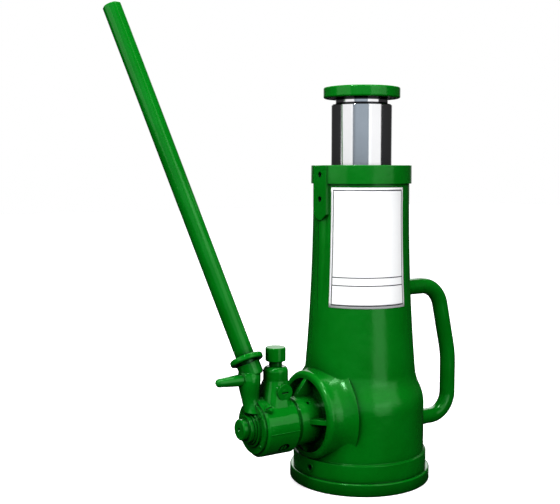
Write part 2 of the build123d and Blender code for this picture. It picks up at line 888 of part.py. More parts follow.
with BuildPart() as saddle_screw:
    saddle_screw_head_z = saddle_top_z - saddle_screw_head_height - saddle_screw_sink + face_gap
    ring_about_screw(0, saddle_screw_radius, saddle_screw_tip_z, saddle_screw_head_z)
    ring_about_screw(
        0,
        saddle_screw_head_radius,
        saddle_screw_head_z,
        saddle_screw_head_z + saddle_screw_head_height,
    )
    with BuildSketch(Plane.XY.offset(saddle_screw_head_z + saddle_screw_head_height)):
        RegularPolygon(saddle_screw_radius, 6)
    extrude(amount=-saddle_screw_head_height / 2, mode=Mode.SUBTRACT)
finish(saddle_screw, "saddle_screw")

# Bush and thrust washer of the pinion shaft
with BuildPart() as pinion_bush:
    ring_about_pinion(bush_bore_radius + running_fit, bush_radius, boss_inner_face, hub_end)
finish(pinion_bush, "pinion_bush")

with BuildPart() as pinion_washer:
    ring_about_pinion(
        bush_bore_radius + running_fit, pinion_collar_radius, pinion_washer_near, pinion_washer_far
    )
finish(pinion_washer, "pinion_washer")

# Pinion and its shaft in one piece
pinion_root_outer = pinion_pitch_radius - tooth_dedendum * crown_run_x
pinion_root_inner = pinion_root_outer * inner_share
with BuildPart() as pinion_shaft:
    turn_about_pinion(
        (pinion_back * inner_share, 0),
        (pinion_back * inner_share, pinion_root_inner),
        (pinion_back, pinion_root_outer),
        (pinion_back, pinion_collar_radius),
        (pinion_washer_near - face_gap, pinion_collar_radius),
        (pinion_washer_near - face_gap, bush_bore_radius),
        (back_plate_front, bush_bore_radius),
        (back_plate_front, wheel_seat_radius),
        (ring_far, wheel_seat_radius),
        (ring_far, shaft_end_radius),
        (shaft_end - shaft_end_edge, shaft_end_radius),
        (shaft_end, shaft_end_radius - shaft_end_edge),
        (shaft_end, centre_hole_radius),
        (shaft_end - centre_hole_depth, 0),
    )
    pinion_tooth = bevel_tooth(tips_up=False)
    for tooth in range(pinion_teeth):
        add(pinion_tooth.rotate(pinion_axis, tooth * 360 / pinion_teeth))
    with BuildSketch(across(wheel_near)):
        with Locations((0, -wheel_seat_radius)):
            Rectangle(wheel_key_width, wheel_key_width)
    extrude(amount=wheel_width, mode=Mode.SUBTRACT)
finish(pinion_shaft, "pinion_shaft")

# Ratchet wheel with straight-sided teeth that drive both ways, keyed to the shaft
with BuildPart() as ratchet_wheel:
    with BuildSketch(across(wheel_near)):
        Circle(wheel_root_radius)
        tooth_centre = (wheel_seat_radius + wheel_radius) / 2
        with PolarLocations(tooth_centre, wheel_teeth, start_angle=90 + 180 / wheel_teeth):
            Trapezoid(wheel_tooth_root, wheel_radius - wheel_seat_radius, wheel_tooth_angle, rotation=-90)
        Circle(wheel_seat_radius + seat_fit, mode=Mode.SUBTRACT)
        with Locations((0, -wheel_seat_radius)):
            Rectangle(wheel_key_width, wheel_key_width, mode=Mode.SUBTRACT)
    extrude(amount=wheel_width)
finish(ratchet_wheel, "ratchet_wheel")

with BuildPart() as wheel_key:
    with BuildSketch(across(wheel_near)):
        with Locations((0, -wheel_seat_radius)):
            Rectangle(wheel_key_width, wheel_key_width)
    extrude(amount=wheel_width)
finish(wheel_key, "wheel_key")

# Washer and locking ring in front of the head
with BuildPart() as front_washer:
    ring_about_pinion(wheel_seat_radius + running_fit, washer_radius, washer_near, ring_near - face_gap)
finish(front_washer, "front_washer")

with BuildPart() as shaft_ring:
    ring_about_pinion(wheel_seat_radius, ring_radius, ring_near, ring_far)
finish(shaft_ring, "shaft_ring")

# Direction of the handle socket and of its cast collar, and planes across them
socket_mouth = Vector(-head_front - mouth_overhang, mouth_sideways, pinion_z + mouth_height)
rod_run = Vector(-tan(radians(rod_outward_lean)), tan(radians(rod_sideways_lean)), 1).normalized()
collar_run = Vector(-tan(radians(collar_outward_lean)), tan(radians(collar_sideways_lean)), 1).normalized()


def socket_plane(distance):
    """Plane across the handle socket, a distance outward from the middle of its collar."""
    return Plane(origin=socket_mouth + rod_run * distance, x_dir=(0, -1, 0), z_dir=rod_run)


tower = Plane(origin=(-tower_station, 0, 0), z_dir=(0, 0, 1))
collar_plane = Plane(origin=socket_mouth - collar_run * (socket_collar_length / 2), z_dir=collar_run)
drain_out = Vector(0, -sin(radians(drain_turn)), -cos(radians(drain_turn)))
drain_plane = Plane(origin=Vector(-drain_station, 0, pinion_z), z_dir=drain_out)

# Ratchet head: barrel round the wheel, pawl tower, front lug, handle socket and its collar
with BuildPart() as ratchet_head:
    turn_about_pinion(
        (head_back, 0),
        (head_back, head_back_radius),
        (head_back + head_taper, head_radius),
        (head_front - head_edge, head_radius),
        (head_front, head_radius - head_edge),
        (head_front, step_radius),
        (step_front, step_radius),
        (step_front, 0),
    )
    with BuildSketch(across(head_front - wall)):
        Circle(lug_radius)
    extrude(amount=lug_front - head_front + wall)
    with BuildSketch(tower.offset(pinion_z)):
        Circle(tower_radius)
    extrude(amount=tower_height)
    fillet(ratchet_head.edges().group_by(Axis.Z)[-1], radius=tower_dome)

    # Tube that holds the rod, closed and rounded at its lower end
    with BuildSketch(socket_plane(-socket_length)):
        Circle(socket_radius)
    extrude(amount=socket_length - socket_collar_length / 2)
    socket_end = ratchet_head.faces().sort_by_distance(socket_plane(-socket_length).origin)[0]
    fillet(socket_end.edges(), radius=socket_end_edge)

    # Skirt that spreads from the tower over the barrel, and the boss of the detent screw
    with BuildSketch(Plane.XY.offset(pinion_z + skirt_low)):
        with Locations((-skirt_station, 0)):
            RectangleRounded(skirt_length, skirt_breadth, skirt_corner)
    with BuildSketch(tower.offset(pinion_z + skirt_high)):
        RectangleRounded(2 * tower_radius - face_gap, 2 * tower_radius - face_gap, tower_radius - face_gap)
    loft()
    with BuildSketch(Plane.XZ):
        with Locations((-tower_station, detent_z)):
            Circle(detent_boss_radius)
    extrude(amount=detent_boss_reach)

    # Post that rises from the barrel's front to the socket tube, and the boss of the crank peg
    with BuildSketch(Plane.XY.offset(pinion_z + post_foot_height)):
        with Locations((post_foot_setback - head_front, 0)):
            Ellipse(post_foot_length / 2, post_foot_breadth / 2)
    with BuildSketch(Plane.XY.offset(pinion_z + post_waist_height)):
        with Locations((-head_front - post_waist_overhang, post_waist_sideways)):
            Circle(post_waist_radius)
    with BuildSketch(Plane.XY.offset(pinion_z + post_swell_height)):
        with Locations((-head_front - post_swell_overhang, post_swell_sideways)):
            Circle(post_radius)
    with BuildSketch(Plane.XY.offset(pinion_z + post_top_height)):
        with Locations((-head_front - post_top_overhang, post_top_sideways)):
            Circle(post_radius)
    loft()
    with BuildSketch(Plane.YZ.offset(peg_boss_length - peg_root)):
        with Locations((peg_sideways, peg_z)):
            Circle(peg_root_radius + peg_boss_wall)
    extrude(amount=-peg_boss_length - peg_boss_wall)

    # Collar round the mouth of the socket, cast a little askew
    with BuildSketch(collar_plane):
        Circle(socket_collar_radius)
    extrude(amount=socket_collar_length)
    collar_edges = ratchet_head.edges().filter_by(GeomType.CIRCLE)
    fillet(collar_edges.filter_by(lambda edge: edge.radius == socket_collar_radius), radius=socket_collar_edge)

    # Sunk seat of the drain plug low on the barrel
    with BuildSketch(drain_plane.offset(head_radius - drain_pocket_depth)):
        Circle(drain_pocket_radius)
    extrude(amount=head_radius, mode=Mode.SUBTRACT)

    # Room for the wheel and its back plate, the shaft's bore and the pawl's bore
    ring_about_pinion(0, wheel_cavity_radius, head_back, cavity_far, mode=Mode.SUBTRACT)
    ring_about_pinion(0, back_plate_radius + seat_fit, head_back, back_plate_front, mode=Mode.SUBTRACT)
    ring_about_pinion(0, head_bore_radius, head_back, lug_front, mode=Mode.SUBTRACT)
    with BuildSketch(tower.offset(pinion_z + wheel_cavity_radius / 2)):
        Circle(pawl_bore_radius)
    extrude(amount=pawl_room_top_z - pinion_z - wheel_cavity_radius / 2, mode=Mode.SUBTRACT)
    with BuildSketch(tower.offset(pawl_room_top_z)):
        Circle(knob_neck_radius + running_fit)
    extrude(amount=tower_top_z - pawl_room_top_z, mode=Mode.SUBTRACT)

    # Bore for the rod, and the seats of the peg, the detent and the drain plug
    with BuildSketch(socket_plane(-socket_length)):
        Circle(rod_bore_radius)
    extrude(amount=socket_length + socket_collar_radius, mode=Mode.SUBTRACT)
    with BuildSketch(Plane.XZ.offset(pawl_radius - detent_plunger_radius)):
        with Locations((-tower_station, detent_z)):
            Circle(detent_screw_radius)
    extrude(amount=detent_boss_reach, mode=Mode.SUBTRACT)
    with BuildSketch(Plane.YZ.offset(-peg_root)):
        with Locations((peg_sideways, peg_z)):
            Circle(peg_root_radius)
    extrude(amount=-peg_length, mode=Mode.SUBTRACT)
    with BuildSketch(drain_plane):
        Circle(drain_plug_radius)
    extrude(amount=head_radius, mode=Mode.SUBTRACT)
finish(ratchet_head, "ratchet_head")

# Plate that closes the wheel's room towards the housing, and its screws
with BuildPart() as back_plate:
    ring_about_pinion(bush_bore_radius + running_fit, back_plate_radius, head_back, back_plate_front)
    with BuildSketch(across(head_back)):
        with PolarLocations(back_plate_screw_circle, back_plate_screw_count):
            Circle(back_plate_screw_radius)
    extrude(amount=back_plate_thickness / 2, mode=Mode.SUBTRACT)
finish(back_plate, "back_plate")

with BuildPart() as back_plate_screws:
    with BuildSketch(across(head_back)):
        with PolarLocations(back_plate_screw_circle, back_plate_screw_count):
            Circle(back_plate_screw_radius)
    extrude(amount=back_plate_thickness / 2)
finish(back_plate_screws, "back_plate_screws")

# Slotted detent screw and its ball in the side of the tower
detent_screw_inner = detent_boss_reach - detent_screw_length
with BuildPart() as detent_screw:
    with BuildSketch(Plane.XZ.offset(detent_screw_inner)):
        with Locations((-tower_station, detent_z)):
            Circle(detent_screw_radius)
    extrude(amount=detent_screw_length)
    with BuildSketch(Plane.XZ.offset(detent_boss_reach)):
        with Locations((-tower_station, detent_z)):
            Rectangle(2 * detent_screw_radius, detent_slot_width)
    extrude(amount=-detent_slot_width, mode=Mode.SUBTRACT)
finish(detent_screw, "detent_screw")

with BuildPart() as detent_plunger:
    with BuildSketch(Plane.XZ.offset(pawl_bore_radius + loose_gap)):
        with Locations((-tower_station, detent_z)):
            Circle(detent_plunger_radius)
    extrude(amount=detent_screw_inner - pawl_bore_radius - loose_gap)
    fillet(detent_plunger.faces().sort_by(Axis.Y)[-1].edges(), radius=detent_plunger_radius - face_gap)
finish(detent_plunger, "detent_plunger")

with BuildPart() as drain_plug:
    with BuildSketch(drain_plane.offset(wheel_cavity_radius + wheel_clearance)):
        Circle(drain_plug_radius)
    extrude(amount=head_radius - wheel_cavity_radius - 2 * wheel_clearance)
    with BuildSketch(drain_plane.offset(head_radius - wheel_clearance)):
        Rectangle(2 * drain_plug_radius, drain_slot_width)
    extrude(amount=-drain_slot_width, mode=Mode.SUBTRACT)
finish(drain_plug, "drain_plug")

# Crank peg: tapered stub with a rounded end, set in the socket's wall
with BuildPart() as crank_peg:
    with BuildSketch(Plane.XZ.offset(-peg_sideways)):
        with BuildLine():
            Polyline(
                (-peg_root, peg_z),
                (-peg_root, peg_z + peg_root_radius),
                (-peg_end + peg_tip_radius, peg_z + peg_tip_radius),
            )
            TangentArc(
                (-peg_end + peg_tip_radius, peg_z + peg_tip_radius), (-peg_end, peg_z), tangent=(-1, 0)
            )
            Line((-peg_end, peg_z), (-peg_root, peg_z))
        make_face()
    revolve(axis=Axis((0, peg_sideways, peg_z), (-1, 0, 0)))
finish(crank_peg, "crank_peg")

# Pawl: plunger with a blade for the wheel's gaps, and the stem that carries the knob
with BuildPart() as pawl:
    with BuildSketch(tower.offset(pawl_body_low_z)):
        Circle(pawl_radius)
    extrude(amount=pawl_body_top_z - pawl_body_low_z)
    with BuildSketch(tower.offset(pawl_tip_z)):
        Rectangle(pawl_blade_length, pawl_blade_width)
    extrude(amount=pawl_body_low_z - pawl_tip_z)
    with BuildSketch(tower.offset(pawl_body_top_z)):
        Circle(pawl_stem_radius)
    extrude(amount=knob_top_z - knob_edge - loose_gap - pawl_body_top_z)
    with BuildSketch(Plane.YZ.offset(-tower_station)):
        with Locations((0, (knob_low_z + knob_top_z) / 2)):
            Circle(knob_pin_radius)
    extrude(amount=knob_radius, both=True, mode=Mode.SUBTRACT)
finish(pawl, "pawl")

with BuildPart() as pawl_knob:
    with BuildSketch(tower.offset(knob_low_z)):
        Circle(knob_radius)
    extrude(amount=knob_top_z - knob_low_z)
    fillet(pawl_knob.edges().filter_by(GeomType.CIRCLE), radius=knob_edge)
    with BuildSketch(tower.offset(knob_neck_low_z)):
        Circle(knob_neck_radius)
    extrude(amount=knob_low_z - knob_neck_low_z)
    with BuildSketch(tower.offset(knob_neck_low_z)):
        Circle(pawl_stem_radius + seat_fit)
    extrude(amount=knob_top_z - knob_edge - loose_gap - knob_neck_low_z, mode=Mode.SUBTRACT)
    with BuildSketch(Plane.YZ.offset(-tower_station)):
        with Locations((0, (knob_low_z + knob_top_z) / 2)):
            Circle(knob_pin_radius)
    extrude(amount=knob_radius, both=True, mode=Mode.SUBTRACT)
finish(pawl_knob, "pawl_knob")

with BuildPart() as knob_pin:
    with BuildSketch(Plane.YZ.offset(-tower_station)):
        with Locations((0, (knob_low_z + knob_top_z) / 2)):
            Circle(knob_pin_radius)
    extrude(amount=knob_radius - knob_edge, both=True)
finish(knob_pin, "knob_pin")

# Seat that lifts with the pawl without turning, and the spring above it
spring_low_z = pawl_body_top_z + face_gap + spring_seat_thickness
with BuildPart() as spring_seat:
    with BuildSketch(tower.offset(pawl_body_top_z + face_gap)):
        Circle(pawl_radius - loose_gap)
        Circle(pawl_stem_radius + loose_gap, mode=Mode.SUBTRACT)
    extrude(amount=spring_seat_thickness)
finish(spring_seat, "spring_seat")

spring_height = pawl_room_top_z - spring_low_z - spring_wire - 2 * face_gap
spring_start = Vector(spring_radius - tower_station, 0, spring_low_z + face_gap + spring_wire / 2)
with BuildPart() as pawl_spring:
    with BuildLine(tower.offset(spring_start.Z)):
        Helix(pitch=spring_height / spring_turns, height=spring_height, radius=spring_radius)
    with BuildSketch(Plane(origin=spring_start, x_dir=(1, 0, 0), z_dir=(0, 1, 0))):
        Rectangle(spring_wire, spring_wire)
    sweep(is_frenet=True)
finish(pawl_spring, "pawl_spring")

# Handle rod
with BuildPart() as handle_rod:
    with BuildSketch(socket_plane(loose_gap - socket_length)):
        Circle(rod_radius)
    extrude(amount=rod_length)
    chamfer(handle_rod.edges().filter_by(GeomType.CIRCLE), length=rod_chamfer)
finish(handle_rod, "handle_rod")
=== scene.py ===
"""Looks of the raised screw jack: enamel, ground steel, label plate, weld beads and small screws.

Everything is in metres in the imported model's frame: +Z up, ratchet head along -X, carrying handle along +X.
"""

from math import cos, pi, radians, sin

import bpy
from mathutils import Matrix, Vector
from mathutils.bvhtree import BVHTree


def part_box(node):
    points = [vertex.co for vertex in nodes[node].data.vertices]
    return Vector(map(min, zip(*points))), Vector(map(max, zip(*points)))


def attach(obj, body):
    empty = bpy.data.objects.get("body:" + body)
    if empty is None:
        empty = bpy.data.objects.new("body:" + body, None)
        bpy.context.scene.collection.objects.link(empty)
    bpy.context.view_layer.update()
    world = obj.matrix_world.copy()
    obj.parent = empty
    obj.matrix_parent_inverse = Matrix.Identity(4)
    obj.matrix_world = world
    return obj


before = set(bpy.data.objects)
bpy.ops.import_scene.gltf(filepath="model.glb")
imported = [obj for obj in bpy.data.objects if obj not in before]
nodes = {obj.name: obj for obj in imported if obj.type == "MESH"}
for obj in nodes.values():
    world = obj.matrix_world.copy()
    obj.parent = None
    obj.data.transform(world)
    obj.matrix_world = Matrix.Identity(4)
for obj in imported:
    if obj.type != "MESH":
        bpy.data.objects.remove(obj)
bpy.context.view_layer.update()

# Camera at the photograph's place
camera_reach = 1.036
camera_height = 0.343
camera_azimuth = radians(232.5)
camera_heading = radians(57.42)
camera_pitch = radians(5.106)
camera_lens = 60.43

# Lights: a turn is measured from the camera round the jack's axis, a reach from that axis
softbox_reach = 1.4
softbox_width = 1.3
softbox_height = 0.9
softbox_middle = 0.72
left_softbox_turn = radians(-57.5)
left_softbox_power = 4.2
right_softbox_turn = radians(52.0)
right_softbox_power = 4.4
light_aim = (0, 0, 0.2)
top_light_turn = radians(-35.0)
top_light_reach = 0.5
top_light_middle = 1.7
top_light_side = 1.6
top_light_power = 34.0
key_light_turn = radians(12.0)
key_light_reach = 1.25
key_light_middle = 0.95
key_light_width = 1.0
key_light_height = 0.8
key_light_power = 9.5
spark_light_turn = radians(-30.0)
spark_light_reach = 0.9
spark_light_middle = 1.1
spark_light_side = 0.12
spark_light_power = 5.0
head_strip_place = (-0.12, -0.12, 1.0)
head_strip_aim = (-0.12, 0, 0.1)
head_strip_width = 0.7
head_strip_height = 0.05
head_strip_power = 2.6
strip_turn = radians(40.0)
strip_reach = 0.6
strip_width = 0.3
low_strip_middle = 0.14
low_strip_height = 0.28
low_strip_power = 0.34
high_strip_middle = 0.85
high_strip_height = 0.7
high_strip_power = 0.86

# Surroundings: stops run from behind the camera (0) to straight ahead of it (1)
surroundings = (
    (0.03, (0.42, 0.49, 0.56, 1)),
    (0.12, (0.04, 0.04, 0.043, 1)),
    (0.94, (0.03, 0.03, 0.03, 1)),
    (0.985, (0.85, 0.85, 0.85, 1)),
)
backdrop_rise = radians(33.0)
backdrop_edge = 0.92
backdrop_full = 0.965
backdrop_glow = (3.0, 3.0, 3.0, 1)
horizon_low = -0.03
horizon_high = 0.01
ground_tone = (0.008, 0.008, 0.009, 1)
camera_backdrop = (1, 1, 1, 1)

# Floor
floor_size = 12.0
floor_plain = (0.90, 0.90, 0.90, 1)
floor_light = (0.93, 0.93, 0.93, 1)
floor_glow_near = (0.55, 0.55, 0.55, 1)
floor_glow_far = (1, 1, 1, 1)
floor_glow_start = 0.08
floor_glow_end = 0.9

# Enamel
# Painted shade: the first colour here is the near-black green that corners and creases darken to
enamel_crease_shade = (0.0001, 0.006, 0.0004, 1.0)
enamel_plain = (0.0003, 0.114, 0.0034, 1.0)
enamel_light = (0.0006, 0.148, 0.0062, 1.0)
enamel_shine = (0.40, 1.0, 0.48, 1.0)
enamel_relief = 0.0006
# How strongly painted shade darkens the enamel in corners and creases
crease_shade_share = 1.5
tone_scale = 22.0

# Metals
ring_waver = 12.0
film_share = 0.35
painted_shaft_bare = (0.38, 0.38, 0.39, 1)
# Painted shade for the ram's neck under the saddle
painted_neck_shade = (0.03, 0.03, 0.032, 1)

# Neck of the ram, above its shoulder
neck_length = 0.0068
ram_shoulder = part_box("ram_tube")[1].z - neck_length
neck_ring_rise = 0.0033
neck_ring_half = 0.0013

# Ratchet head: stations along the pinion shaft, turns and reaches about it
shaft_height = 0.074
round_screw_sides = 24
head_step_station = 0.1406
head_screw_circle = 0.0232
head_screw_turns = (48.0, 132.0, 228.0, 312.0)
face_screw = {"Radius": 0.0023, "Height": 0.0010, "Slot": 0.0006}
square_screw_station = 0.1335
square_screw_turn = radians(43)
square_screw_reach = 0.0303
square_screw_twist = 0.3
square_screw = {"Radius": 0.0058, "Height": 0.0042, "Slot": 0.0010}
top_screw_station = 0.1285
top_screw_turn = radians(4)
top_screw_reach = 0.0306
top_screw = {"Radius": 0.0024, "Height": 0.0012, "Slot": 0.0006}
seam_stations = (0.1005, 0.110, 0.122, 0.1358)
seam_turn = radians(93.0)
seam_reach = 0.0308
seam_radius = 0.0006

# Carrying handle and lock screw
handle_top = 0.2074
handle_low = 0.0525
handle_outside = 0.1
weld_reach = 0.0098
weld_points = 40
weld_bead_count = 34
weld_bead_radius = 0.0014
bend_rib_stations = (0.072, 0.088)
bend_ribs = {"Count": 8, "Ring Radius": 0.0089, "Radius": 0.0003}
lock_screw_azimuth = radians(187.0)
lock_rim_reach = 0.0046
lock_rim_points = 32
lock_rim_radius = 0.0007
flange_radius = 0.0737
housing_outside = 0.2

# Label plate, and the lines printed on it as shares of its width and height
label_azimuth = radians(242.8)
label_half_turn = radians(47.0)
label_low = 0.1955
label_high = 0.3226
label_thickness = 0.0002
label_sunk_share = 0.1
label_columns = 48
label_rows = 24
border_side = 0.034
border_end = 0.024
line_side = 0.0075
line_end = 0.0058
divider_heights = (0.255, 0.188)
divider_share = 0.8
paper_plain = (0.93, 0.932, 0.935, 1)
paper_light = (0.97, 0.97, 0.97, 1)
ink = (0.06, 0.06, 0.065, 1)


# Node tree helpers
def add_node(tree, kind, settings=None, inputs=None):
    """One node of a tree, with its settings and its input values or links."""
    node = tree.nodes.new(kind)
    for name, value in (settings or {}).items():
        setattr(node, name, value)
    for name, value in (inputs or {}).items():
        if isinstance(value, bpy.types.NodeSocket):
            tree.links.new(value, node.inputs[name])
        else:
            node.inputs[name].default_value = value
    return node


def math_node(tree, operation, first, second=0.0, third=0.0, clamp=False):
    """Result of one sum on two or three values."""
    settings = {"operation": operation, "use_clamp": clamp}
    return add_node(tree, "ShaderNodeMath", settings, {0: first, 1: second, 2: third}).outputs[0]


def new_group(name, kind, inputs, outputs):
    """Empty node group with named sockets, and its input and output nodes."""
    tree = bpy.data.node_groups.new(name, kind)
    for label, socket, value in inputs:
        made = tree.interface.new_socket(name=label, in_out="INPUT", socket_type=socket)
        if value is not None:
            made.default_value = value
    for label, socket in outputs:
        tree.interface.new_socket(name=label, in_out="OUTPUT", socket_type=socket)
    return tree, tree.nodes.new("NodeGroupInput"), tree.nodes.new("NodeGroupOutput")


def place_group(tree, group, inputs):
    """A node group set in a tree with its own values."""
    return add_node(tree, "ShaderNodeGroup", {"node_tree": group}, inputs)


# Shared surface effects
def make_flow_group():
    """Paint that flowed over a casting: long waves, fine peel and a slow change of tone."""
    tree, given, result = new_group(
        "paint_flow",
        "ShaderNodeTree",
        (
            ("Vector", "NodeSocketVector", None),
            ("Wave Scale", "NodeSocketFloat", 60.0),
            ("Wave", "NodeSocketFloat", 0.5),
            ("Peel Scale", "NodeSocketFloat", 900.0),
            ("Peel", "NodeSocketFloat", 0.1),
        ),
        (("Height", "NodeSocketFloat"), ("Tone", "NodeSocketFloat")),
    )
    wave = add_node(
        tree,
        "ShaderNodeTexNoise",
        inputs={"Vector": given.outputs["Vector"], "Scale": given.outputs["Wave Scale"], "Detail": 2.0},
    )
    peel = add_node(
        tree,
        "ShaderNodeTexNoise",
        inputs={"Vector": given.outputs["Vector"], "Scale": given.outputs["Peel Scale"], "Detail": 1.0},
    )
    tone = add_node(
        tree,
        "ShaderNodeTexNoise",
        inputs={"Vector": given.outputs["Vector"], "Scale": tone_scale, "Detail": 3.0},
    )
    waves = math_node(tree, "MULTIPLY", wave.outputs[0], given.outputs["Wave"])
    height = math_node(tree, "MULTIPLY_ADD", peel.outputs[0], given.outputs["Peel"], waves)
    tree.links.new(height, result.inputs["Height"])
    tree.links.new(tone.outputs[0], result.inputs["Tone"])
    return tree


def make_turning_group():
    """Marks left by turning or grinding: rings up the height, each a little different."""
    tree, given, result = new_group(
        "turning_marks",
        "ShaderNodeTree",
        (("Vector", "NodeSocketVector", None), ("Rings", "NodeSocketFloat", 2500.0)),
        (("Height", "NodeSocketFloat"),),
    )
    parts = add_node(tree, "ShaderNodeSeparateXYZ", inputs={0: given.outputs["Vector"]})
    around = add_node(
        tree,
        "ShaderNodeCombineXYZ",
        inputs={
            0: math_node(tree, "MULTIPLY", parts.outputs[0], ring_waver),
            1: math_node(tree, "MULTIPLY", parts.outputs[1], ring_waver),
            2: math_node(tree, "MULTIPLY", parts.outputs[2], given.outputs["Rings"]),
        },
    )
    rings = add_node(tree, "ShaderNodeTexNoise", inputs={"Vector": around.outputs[0], "Scale": 1.0})
    tree.links.new(rings.outputs[0], result.inputs["Height"])
    return tree


def make_corner_group():
    """How deep a point sits in a corner or crease, and a normal that rounds its sharp edges."""
    tree, given, result = new_group(
        "corners_and_edges",
        "ShaderNodeTree",
        (("Reach", "NodeSocketFloat", 0.006), ("Edge Radius", "NodeSocketFloat", 0.0008)),
        (("Crease", "NodeSocketFloat"), ("Soft Normal", "NodeSocketVector")),
    )
    crease = add_node(
        tree,
        "ShaderNodeAmbientOcclusion",
        {"samples": 6, "only_local": False},
        {"Distance": given.outputs["Reach"]},
    )
    rounded = add_node(tree, "ShaderNodeBevel", {"samples": 6}, {"Radius": given.outputs["Edge Radius"]})
    depth = math_node(tree, "SUBTRACT", 1.0, crease.outputs["AO"])
    tree.links.new(depth, result.inputs["Crease"])
    tree.links.new(rounded.outputs[0], result.inputs["Soft Normal"])
    return tree


paint_flow = make_flow_group()
turning_marks = make_turning_group()
corners_and_edges = make_corner_group()


# Materials
def new_material(name):
    """Empty node material with its shader and object coordinates."""
    material = bpy.data.materials.new(name)
    material.use_nodes = True
    tree = material.node_tree
    tree.nodes.clear()
    shader = tree.nodes.new("ShaderNodeBsdfPrincipled")
    output = tree.nodes.new("ShaderNodeOutputMaterial")
    tree.links.new(shader.outputs[0], output.inputs["Surface"])
    place = tree.nodes.new("ShaderNodeTexCoord").outputs["Object"]
    return material, tree, shader, place


def mix_colour(tree, share, first, second):
    """Colour between two, by a share from 0 to 1."""
    node = add_node(tree, "ShaderNodeMix", {"data_type": "RGBA"})
    for index, value in ((0, share), (6, first), (7, second)):
        if isinstance(value, bpy.types.NodeSocket):
            tree.links.new(value, node.inputs[index])
        else:
            node.inputs[index].default_value = value
    return node.outputs[2]


def between(tree, share, low, high):
    """Value between two, by a share from 0 to 1."""
    inputs = {"Value": share, "To Min": low, "To Max": high}
    return add_node(tree, "ShaderNodeMapRange", inputs=inputs).outputs[0]


def enamel(name, wave_scale, wave, peel, turned=0.0, gloss=0.10):
    """Glossy green enamel, brushed on thickly; the values say what lies under it."""
    material, tree, shader, place = new_material(name)
    values = {"Vector": place, "Wave Scale": wave_scale, "Wave": wave, "Peel Scale": 700.0, "Peel": peel}
    flow = place_group(tree, paint_flow, values)
    rings = place_group(tree, turning_marks, {"Vector": place, "Rings": 1400.0})
    form = place_group(tree, corners_and_edges, {"Reach": 0.022, "Edge Radius": 0.0009})
    height = math_node(tree, "MULTIPLY_ADD", rings.outputs["Height"], turned, flow.outputs["Height"])
    bump = add_node(
        tree,
        "ShaderNodeBump",
        inputs={
            "Height": height,
            "Distance": enamel_relief,
            "Strength": 1.0,
            "Normal": form.outputs["Soft Normal"],
        },
    )
    tone = mix_colour(tree, between(tree, flow.outputs["Tone"], -0.6, 1.4), enamel_plain, enamel_light)
    # Painted shade: the base colour darkens towards near-black green where occlusion finds a corner or crease
    depth = math_node(tree, "MULTIPLY", form.outputs["Crease"], crease_shade_share, clamp=True)
    crease_shaded = mix_colour(tree, depth, tone, enamel_crease_shade)
    tree.links.new(crease_shaded, shader.inputs["Base Color"])
    tree.links.new(between(tree, flow.outputs["Tone"], gloss * 0.75, gloss * 1.3), shader.inputs["Roughness"])
    tree.links.new(bump.outputs[0], shader.inputs["Normal"])
    shader.inputs["Specular Tint"].default_value = enamel_shine
    return material


def metal(name, colour, dark, roughness, rings, depth):
    """Bare machined metal with its turning marks, a darker tone at random and painted shade in the corners.
    """
    material, tree, shader, place = new_material(name)
    marks = place_group(tree, turning_marks, {"Vector": place, "Rings": rings})
    values = {"Vector": place, "Wave Scale": 35.0, "Wave": 0.2, "Peel Scale": 400.0, "Peel": 0.1}
    flow = place_group(tree, paint_flow, values)
    form = place_group(tree, corners_and_edges, {"Reach": 0.004, "Edge Radius": 0.0004})
    bump = add_node(
        tree,
        "ShaderNodeBump",
        inputs={
            "Height": marks.outputs["Height"],
            "Distance": depth,
            "Strength": 1.0,
            "Normal": form.outputs["Soft Normal"],
        },
    )
    # Painted shade: corners and creases darken the colour, added to a darker tone that varies at random
    crease = form.outputs["Crease"]
    film_and_corner_shade = math_node(tree, "MULTIPLY_ADD", flow.outputs["Tone"], film_share, crease, clamp=True)
    tree.links.new(mix_colour(tree, film_and_corner_shade, colour, dark), shader.inputs["Base Color"])
    polish = between(tree, flow.outputs["Tone"], roughness * 0.7, roughness * 1.4)
    tree.links.new(polish, shader.inputs["Roughness"])
    tree.links.new(bump.outputs[0], shader.inputs["Normal"])
    shader.inputs["Metallic"].default_value = 1.0
    return material


def label_film():
    """White printed film: a thin dark border and two divider lines low on it, and no words."""
    material, tree, shader, _ = new_material("label_film")
    across, up = add_node(
        tree, "ShaderNodeSeparateXYZ", inputs={0: tree.nodes["Texture Coordinate"].outputs["UV"]}
    ).outputs[:2]
    lines = []
    for value, centre, half in (
        (across, border_side, line_side),
        (across, 1 - border_side, line_side),
        (up, border_end, line_end),
        (up, 1 - border_end, line_end),
        (up, divider_heights[0], line_end * divider_share),
        (up, divider_heights[1], line_end * divider_share),
    ):
        lines.append(math_node(tree, "COMPARE", value, centre, half))
    inked = lines[0]
    for line in lines[1:]:
        inked = math_node(tree, "MAXIMUM", inked, line)
    for value, edge in ((across, border_side - line_side), (up, border_end - line_end)):
        near = math_node(tree, "GREATER_THAN", value, edge)
        far = math_node(tree, "LESS_THAN", value, 1 - edge)
        inked = math_node(tree, "MULTIPLY", inked, math_node(tree, "MULTIPLY", near, far))
    place = tree.nodes["Texture Coordinate"].outputs["Object"]
    grain = add_node(tree, "ShaderNodeTexNoise", inputs={"Vector": place, "Scale": 260.0, "Detail": 2.0})
    paper = mix_colour(tree, grain.outputs[0], paper_plain, paper_light)
    tree.links.new(mix_colour(tree, inked, paper, ink), shader.inputs["Base Color"])
    tree.links.new(between(tree, grain.outputs[0], 0.32, 0.42), shader.inputs["Roughness"])
    bump = add_node(tree, "ShaderNodeBump", inputs={"Height": grain.outputs[0], "Distance": 0.00002})
    tree.links.new(bump.outputs[0], shader.inputs["Normal"])
    return material


